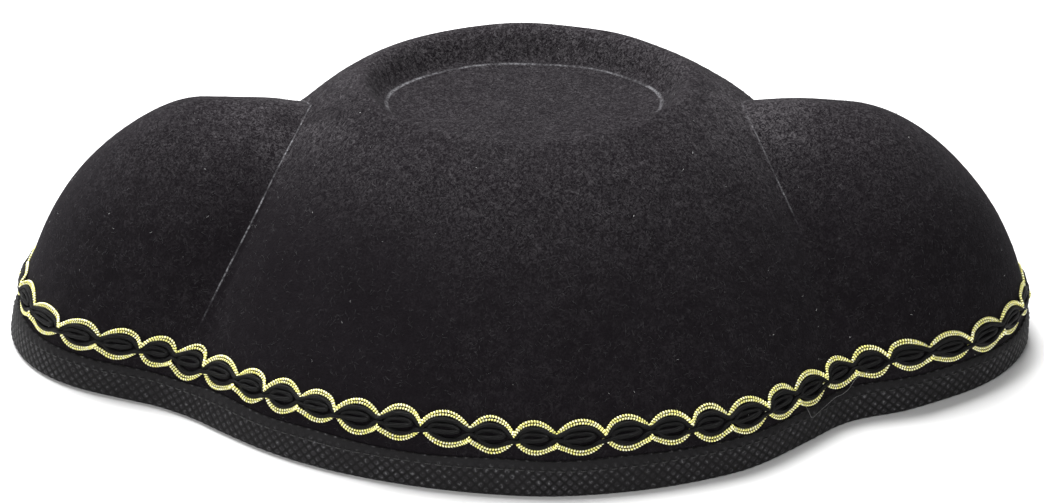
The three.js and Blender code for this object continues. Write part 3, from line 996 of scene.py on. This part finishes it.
braid_length, braid_angle = around(BRAID_MIDDLE)
EYE = braid_length / EYES
numbers = 17 + np.arange(len(FRONT_KNOTS))
numbers = np.concatenate([[numbers[-1] - EYES], numbers, [numbers[0] + EYES]])
places = braid_length / 2 + FRONT_KNOTS
places = np.concatenate([[places[-1] - braid_length], places, [places[0] + braid_length]])
knot = np.interp(np.arange(EYES + 1), numbers, places)


def station_to_length(station):
    """Length along the braid at a station in eyes, counted from the back."""
    whole = np.floor(station / EYES)
    return np.interp(station - whole * EYES, np.arange(EYES + 1), knot) + whole * braid_length


def drift(s):
    """Height above the middle line at a length along the braid: slow waves of handwork."""
    front = np.interp(s % braid_length - braid_length / 2, DRIFT_AT, DRIFT_UP)
    return front + 0.2 * np.sin(s / 23) + 0.2 * np.sin(s / 9.1 + 2)


def swell(station):
    """Each eye's own height, about 1, joined smoothly from eye to eye."""
    return 1 + 0.05 * np.sin(station * 2.4) + 0.04 * np.sin(station * 0.9 + 1)


def side_of(station):
    """1 where the upper gold dips over the gimp, and -1 where the lower gold does."""
    return np.cos(np.pi * station)


def on_braid(station, up, out):
    """Points and ways out for cords: a station, a height above the middle line, a seat."""
    s = station_to_length(station)
    angle = braid_angle(s)
    height = BRAID_MIDDLE + drift(s) + up
    normal = wall_normal(angle, height)
    lean = unit(normal + np.array([0, 0, 0.12]))
    return handmade(outline(angle, height) + out[:, None] * normal), lean


print("one eye is", round(EYE, 2), "mm long")


# %% Gold finish
BEAD = 0.92  # length of one bead of a strand, where its two plies cross


def gold_finish():
    gold = Finish("gold_strand", Metallic=0.5, Specular_IOR_Level=0.9)
    s, t = gold.along()
    wrap = (s * (2 * np.pi / (0.34 * MM)) + t * (2 * np.pi / (2.7 * MM)) * 3).sine()
    tone = gold.noise(gold.place(), 11, 3)
    glint = gold.noise(gold.place(), 0.8, 2)
    bead = abs(s.wave(2 * BEAD))
    # Painted shade: the colour falls to dark brown between the beads, where the plies cross.
    colour = gold.mix(bead.step(0.25, 0.8), (0.14, 0.1, 0.004, 1), (1.0, 0.97, 0.29, 1))
    # Painted highlight: pale flecks of glint on the bead crests.
    colour = gold.mix(glint.step(0.42, 0.62) * bead.step(0.5, 0.9), colour, (1.0, 1.0, 0.85, 1))
    colour = gold.mix(tone.step(0.6, 0.8) * 0.3, colour, (0.5, 0.46, 0.12, 1))
    rough = 0.36 + glint * 0.12 - wrap * 0.04
    return gold.wear(Base_Color=colour, Roughness=rough, Normal=gold.bump(wrap, 0.04, 0.7))


GOLD = gold_finish()

# %% Gold strands
GOLD_STEPS = 110  # steps for each eye
GOLD_SIDES = 9


def gold_strand(name, upper, outer):
    """One strand: its height is |sin|^0.7 between knots. At a knot it dips in over the gimp,
    or passes further in under it.

    Two plies twisted together look like a row of beads: r (0.45 + 0.6 |sin|) along it."""
    station = np.arange(EYES * GOLD_STEPS) / GOLD_STEPS
    sign = 1 if upper else -1
    over = (1 + sign * side_of(station)) / 2
    swing = np.abs(np.sin(np.pi * station))
    inset = 0 if outer else STRAND_GAP
    closed = 0.45 + 0.65 * over + (0.35 if outer else -0.35)
    crest = (GOLD_CREST - inset) * swell(station)
    up = sign * (closed + (crest - closed) * swing**0.7)
    near = hump(swing, 0, 0.36)
    seat = STRAND_RADIUS + 0.12 + near * over.round() * 1.5
    centres, out = on_braid(station, up, seat)
    length = loop_length(centres)
    beads = np.round(length[-1] / BEAD)
    length = length * beads * BEAD / length[-1]
    turn = np.arange(GOLD_SIDES) * 2 * np.pi / GOLD_SIDES
    lay = 0.5 if outer else -0.5
    bead = np.abs(np.sin(np.pi * length[:, None] / BEAD + lay * np.cos(turn)))
    radius = STRAND_RADIUS * (0.45 + 0.6 * bead)
    section = radius[..., None] * np.stack([np.cos(turn), np.sin(turn)], axis=-1)
    return cord(name, centres, out, section, length, 0.27)


for side, upper in (("upper", True), ("lower", False)):
    for row, outer in (("outer", True), ("inner", False)):
        strand = gold_strand(f"gold_{side}_{row}", upper, outer)
        finish_piece(strand, [f"gold_strand_{side}_{row}"], GOLD)


# %% Gimp finish
def gimp_finish():
    gimp = Finish("black_gimp", Specular_IOR_Level=0.15)
    s, t = gimp.along()
    ridges = (t * (2 * np.pi / (0.7 * MM)) + s * (2 * np.pi / (6 * MM))).sine()
    wraps = (s * (2 * np.pi / (0.3 * MM)) + t * 3000).sine()
    shade = gimp.noise(gimp.place(), 3, 3)
    # Painted highlight and shade: the colour is lighter on the wrap ridges and darker in the
    # grooves between them.
    painted_ridge_highlight = ridges.step(-0.6, 1) * (0.4 + shade * 0.6)
    colour = gimp.mix(painted_ridge_highlight, grey(0.0006), grey(0.0035, 0.0004, 0.0004))
    rough = 0.5 + shade * 0.2
    relief = ridges * 0.6 + wraps * 0.3
    return gimp.wear(Base_Color=colour, Roughness=rough, Normal=gimp.bump(relief, 0.12, 0.8))


GIMP = gimp_finish()

# %% Gimp cords
GIMP_STEPS = 96  # steps for each eye
SCROLL_STEPS = 135  # the same for the longer path of the scroll
GIMP_SIDES = 12


def smooth_path(corners, count):
    """A closed-end curve through points, with the same slope where one eye joins the next:
    Catmull-Rom pieces, each (2 p1 + (p2 - p0) t + ... ) / 2, sampled evenly by length."""
    corners = np.array(corners, float)
    before = corners[-2] - [1, 0]
    after = corners[1] + [1, 0]
    p = np.vstack([before, corners, after])
    t = np.linspace(0, 1, 24, endpoint=False)[:, None, None]
    p0, p1, p2, p3 = (p[i : len(p) - 3 + i] for i in range(4))
    curve = 2 * p1 + (p2 - p0) * t + (2 * p0 - 5 * p1 + 4 * p2 - p3) * t**2
    curve = (curve + (3 * p1 - p0 - 3 * p2 + p3) * t**3) / 2
    curve = np.vstack([curve.transpose(1, 0, 2).reshape(-1, 2), corners[-1]])
    length = measured(curve)
    even = np.arange(count) / count * length[-1]
    return np.stack([np.interp(even, length, curve[:, i]) for i in range(2)], axis=1)


RING = [(0, 0.2), (0.12, 0.45), (0.3, 0.88), (0.5, 1.0), (0.7, 0.88), (0.88, 0.45), (1, 0.2)]
SCROLL = [
    (0, -0.2), (0.2, -0.24), (0.45, -0.18), (0.66, -0.06), (0.77, 0.14), (0.69, 0.36),
    (0.5, 0.46), (0.3, 0.38), (0.17, 0.05), (0.2, -0.4), (0.33, -0.8), (0.52, -1.0), (0.72, -0.85),
    (0.88, -0.45), (1, -0.2),
]  # fmt: skip
GIMP_HIGH = GOLD_CREST - STRAND_GAP - STRAND_RADIUS - GIMP_RADIUS - 0.1


def gimp_cord(name, corners, steps):
    """A cord that repeats one eye's path all the way round. It lifts where it crosses itself
    or the other cord, and the knots follow the side on which the gold dips."""
    path = smooth_path(corners, steps)
    station = (np.arange(EYES)[:, None] + path[:, 0]).ravel()
    share = np.tile(np.arange(steps) / steps, EYES)
    shape = np.tile(path[:, 1], EYES)
    knots = hump(np.minimum(station % 1, 1 - station % 1), 0, 0.13)
    up = shape * GIMP_HIGH * swell(station) - 0.42 * side_of(np.round(station)) * knots
    cross = hump(share, 0.16, 0.1) if len(corners) > 8 else 0
    seat = GIMP_RADIUS + 0.1 + 0.55 * knots + 0.5 * cross
    centres, out = on_braid(station, up, seat * np.ones_like(station))
    turn = np.arange(GIMP_SIDES) * 2 * np.pi / GIMP_SIDES
    length = loop_length(centres)
    lay = 2 * np.pi * np.round(length[-1] / 7) * length[:, None] / length[-1]
    thick = GIMP_RADIUS * (1 - 0.1 * knots)[:, None] * (1 + 0.1 * np.cos(3 * turn - lay))
    section = thick[..., None] * np.stack([np.cos(turn), 0.85 * np.sin(turn)], axis=-1)
    return cord(name, centres, out, section, length, 0.53)


finish_piece(gimp_cord("gimp_ring", RING, GIMP_STEPS), ["gimp_cord_upper"], GIMP)
finish_piece(gimp_cord("gimp_scroll", SCROLL, SCROLL_STEPS), ["gimp_cord_lower"], GIMP)


# %% Stitches that hold the braid
def braid_stitches():
    """Two short black stitches across the cords beside each knot."""
    place, outwards = on_wall(braid_angle, lambda s: BRAID_MIDDLE + drift(s), 1.55)
    knots = station_to_length(np.arange(EYES).astype(float))
    starts = np.concatenate([knots - 1.1, knots + 0.1])
    return sew("braid_stitches", place, outwards, starts, 1.2, 0.15)


finish_piece(braid_stitches(), ["braid_stitch"], BLACK_THREAD)


# %% [markdown]
# ## Sweatband and label
# Inside, a ribbed ribbon goes round the head, with a row of stitches along both edges. Each
# rib is a half wave along the band. A blank label is sewn to it at the back.

# %% Band shape
CROWN_DEPTH_AT_BAND = crown_radius(np.pi / 2, BAND_LOW[2]), crown_radius(np.pi / 2, BAND_HIGH[2])
BAND_SEAT = CROWN_DEPTH_AT_BAND[0] - BAND_HIGH[1]
BAND_THICKNESS = 1.2
RIB = 1.15


def band_point(angle, height, inwards):
    """A point on the band's leaning oval, moved inwards from its outer face."""
    rise = (height - BAND_LOW[2]) / (BAND_HIGH[2] - BAND_LOW[2])
    depth = CROWN_DEPTH_AT_BAND[0] * (1 - rise) + CROWN_DEPTH_AT_BAND[1] * rise - BAND_SEAT
    x = (BAND_HIGH[0] - inwards) * np.cos(angle)
    y = (depth - inwards) * np.sin(angle)
    return np.stack(np.broadcast_arrays(x, y, height), axis=-1)


def band_inwards(angle):
    """The way in from the band, towards the head."""
    x, y = -np.cos(angle) / BAND_HIGH[0], -np.sin(angle) / BAND_HIGH[1]
    return unit(np.stack([x, y, np.zeros_like(x)], axis=-1))


band_fine = np.pi / 2 + np.linspace(0, 2 * np.pi, 4001)
band_measure = measured(band_point(band_fine, BAND_HIGH[2] / 2, 0))
BAND_LENGTH = band_measure[-1]


def band_angle(s):
    """Angle for a length along the band, from the back."""
    return np.interp(s % BAND_LENGTH, band_measure, band_fine)


print("the band is", round(BAND_LENGTH, 1), "mm round")


# %% Band and label finishes
def band_finish():
    band = Finish("ribbed_band", Roughness=0.62, Sheen_Weight=0.12, Specular_IOR_Level=0.3)
    s, t = band.along()
    rib, weave = s.wave(RIB), t.wave(0.4)
    shade = band.noise(band.place(), 12, 4)
    colour = band.mix(rib.step(-1, 1) * 0.5 + shade * 0.5, grey(0.008), grey(0.028, 0, 0.002))
    return band.wear(Base_Color=colour, Normal=band.bump(rib + weave * 0.3, 0.1, 0.7))


def label_finish():
    label = Finish("blank_label", Roughness=0.6, Specular_IOR_Level=0.3, Sheen_Weight=0.1)
    place = label.place()
    weave = label.part(place, 0).wave(0.35) * label.part(place, 2).wave(0.35)
    colour = label.mix(label.noise(place, 5, 3), (0.62, 0.6, 0.55, 1), (0.78, 0.77, 0.73, 1))
    colour = label.mix(weave.step(0.1, 1) * 0.35, colour, (0.5, 0.48, 0.44, 1))
    return label.wear(Base_Color=colour, Normal=label.bump(weave, 0.06, 0.8))


BAND = band_finish()
LABEL = label_finish()


# %% Sweatband
def sweatband():
    """The ribbon's points go up its inner face and back down its outer one."""
    columns = int(BAND_LENGTH / RIB) * 5
    s = np.arange(columns) * BAND_LENGTH / columns
    ribs = np.abs(np.sin(np.pi * np.arange(columns) / 5))
    heights = np.linspace(BAND_LOW[2], BAND_HIGH[2], 13)
    hem = np.minimum(heights - heights[0], 1.2) * np.minimum(heights[-1] - heights, 1.2) / 1.2**2
    inner = BAND_THICKNESS - 0.3 + 0.28 * ribs[None] * (0.3 + 0.7 * hem[:, None])
    inner = inner - 0.25 * (1 - hem[:, None])
    outer = 0.15 * (1 - hem[::-1, None]) * np.ones_like(ribs)[None]
    angle = band_angle(s)[None]
    up = band_point(angle, heights[:, None], inner)
    points = np.concatenate([up, band_point(angle, heights[::-1, None], outer)])
    faces, row, column = grid_faces(len(points), columns, True, True)
    rib_share = BAND_LENGTH / (columns / 5) / RIB
    uv = np.stack([column * RIB / 5, row * 2.0 * rib_share], axis=-1)
    return add_mesh("sweatband_ribbon", points, faces[:, ::-1], uv[:, ::-1])


finish_piece(sweatband(), ["sweatband"], BAND)


# %% Band stitches
def seam_on_band(name, node, inwards, starts, length, thread):
    """A row of stitches on the band's inner face, at the height of its CAD thread."""
    height = middle(node)[2]

    def place(s):
        return band_point(band_angle(s), np.full_like(s, height), inwards)

    seam = sew(name, place, lambda s: band_inwards(band_angle(s)), starts, length, SEAM_RADIUS)
    finish_piece(seam, [node], thread)


band_starts = np.arange(0, BAND_LENGTH - 3, BAND_PITCH)
for row in ("lower", "upper"):
    name, node = f"band_stitches_{row}", f"sweatband_stitch_{row}"
    seam_on_band(name, node, BAND_THICKNESS + 0.1, band_starts, BAND_STITCH, BLACK_THREAD)


# %% Label
LABEL_LOW, LABEL_HIGH = span("care_label")
LABEL_FACE = BAND_THICKNESS + 0.45


def care_label():
    """A woven label bent round the band: two faces that meet in rounded edges, slightly
    puffed between its seams."""
    width = LABEL_HIGH[0] - LABEL_LOW[0]
    u = np.sin(np.linspace(-np.pi / 2, np.pi / 2, 61))
    v = np.sin(np.linspace(-np.pi / 2, np.pi / 2, 41))
    s = u * width / 2
    height = (LABEL_LOW[2] + LABEL_HIGH[2]) / 2 + v * (LABEL_HIGH[2] - LABEL_LOW[2]) / 2
    edge = np.sqrt(np.sqrt(np.maximum(1 - u[None] ** 8, 0) * np.maximum(1 - v[:, None] ** 8, 0)))
    puff = 0.25 * (1 - u[None] ** 2) * (1 - v[:, None] ** 2) * edge
    angle = band_angle(s)[None]
    both = [band_point(angle, height[:, None], LABEL_FACE + h * edge + puff) for h in (0.2, -0.2)]
    points, faces = join_patches(both, [False, False])
    half = len(faces) // 2
    faces = np.concatenate([faces[:half, ::-1], faces[half:]])
    piece = add_mesh("care_label_blank", points, faces)
    weld([piece.data], 0.001, lambda m: bmesh.ops.recalc_face_normals(m, faces=m.faces))
    return piece


finish_piece(care_label(), ["care_label"], LABEL)
label_starts = np.arange(-12.4, 11, 2.6)
seam_on_band(
    "label_stitches", "care_label_stitch", LABEL_FACE + 0.3, label_starts, 1.9, PALE_THREAD
)


# %% [markdown]
# ## Studio
# The hat stands on a plain white floor. One wide soft lamp hangs over it, a little behind, so
# that the top is the brightest part. A weak reflector in front gives the gold its sparkle, and
# the felt is dark enough to swallow it.

# %% Floor, lamp and world
def studio_floor():
    floor = Finish("studio_floor", Roughness=0.9, Specular_IOR_Level=0.1)
    floor.shader.inputs["Base Color"].default_value = grey(0.62)
    size = 8000.0
    corners = np.array([[-size, -size, 0], [size, -size, 0], [size, size, 0], [-size, size, 0]])
    piece = add_mesh("floor", corners, np.array([[0, 1, 2, 3]]))
    piece.data.materials.append(floor.material)


def lamp(name, power, size, place, target=(0, 0, 0.05)):
    """A soft lamp, in watts and metres, that points at a target."""
    light = bpy.data.lights.new(name, "AREA")
    light.energy = power
    light.shape = "RECTANGLE"
    light.size, light.size_y = size
    thing = bpy.data.objects.new(name, light)
    thing.location = place
    thing.rotation_euler = (Vector(target) - Vector(place)).to_track_quat("-Z", "Y").to_euler()
    bpy.context.scene.collection.objects.link(thing)


WORLD_STRENGTH = 0.13
studio_floor()
lamp("overhead_softbox", 94, (1.35, 1.0), (-0.35, 0.6, 1.6))
lamp("front_reflector", 17, (1.2, 0.35), (-0.2, -1.3, 0.75))
world = bpy.data.worlds.new("studio")
world.use_nodes = True
background = world.node_tree.nodes["Background"].inputs
background["Color"].default_value = (1, 1, 1, 1)
background["Strength"].default_value = WORLD_STRENGTH
bpy.context.scene.world = world
bpy.context.scene.view_settings.view_transform = "Standard"


# %% Camera
CAMERA_ELEVATION = np.radians(28.5)
CAMERA_YAW = np.radians(1.1)
CAMERA_DISTANCE = 1050.0
LENS = 109.0
LENS_SHIFT = -0.0148
SENSOR = 36
AIM = np.array([0.0, 0.0, 50.0])
STAND_BACK = np.array([0.0, -25.0, 0.0])


def add_camera():
    """Stands at a distance and an elevation from a point above the middle, turned a little."""
    turn = np.array(Matrix.Rotation(CAMERA_YAW, 3, "Z"))
    back = np.array([0, -np.cos(CAMERA_ELEVATION), np.sin(CAMERA_ELEVATION)])
    place = turn @ (back * CAMERA_DISTANCE) + AIM + STAND_BACK
    lens = bpy.data.cameras.new("camera")
    lens.lens = LENS
    lens.sensor_width = SENSOR
    lens.shift_y = LENS_SHIFT
    lens.clip_end = 100
    camera = bpy.data.objects.new("camera", lens)
    camera.location = place * MM
    camera.rotation_euler = Vector(-(turn @ back)).to_track_quat("-Z", "Y").to_euler()
    bpy.context.scene.collection.objects.link(camera)
    bpy.context.scene.camera = camera


add_camera()
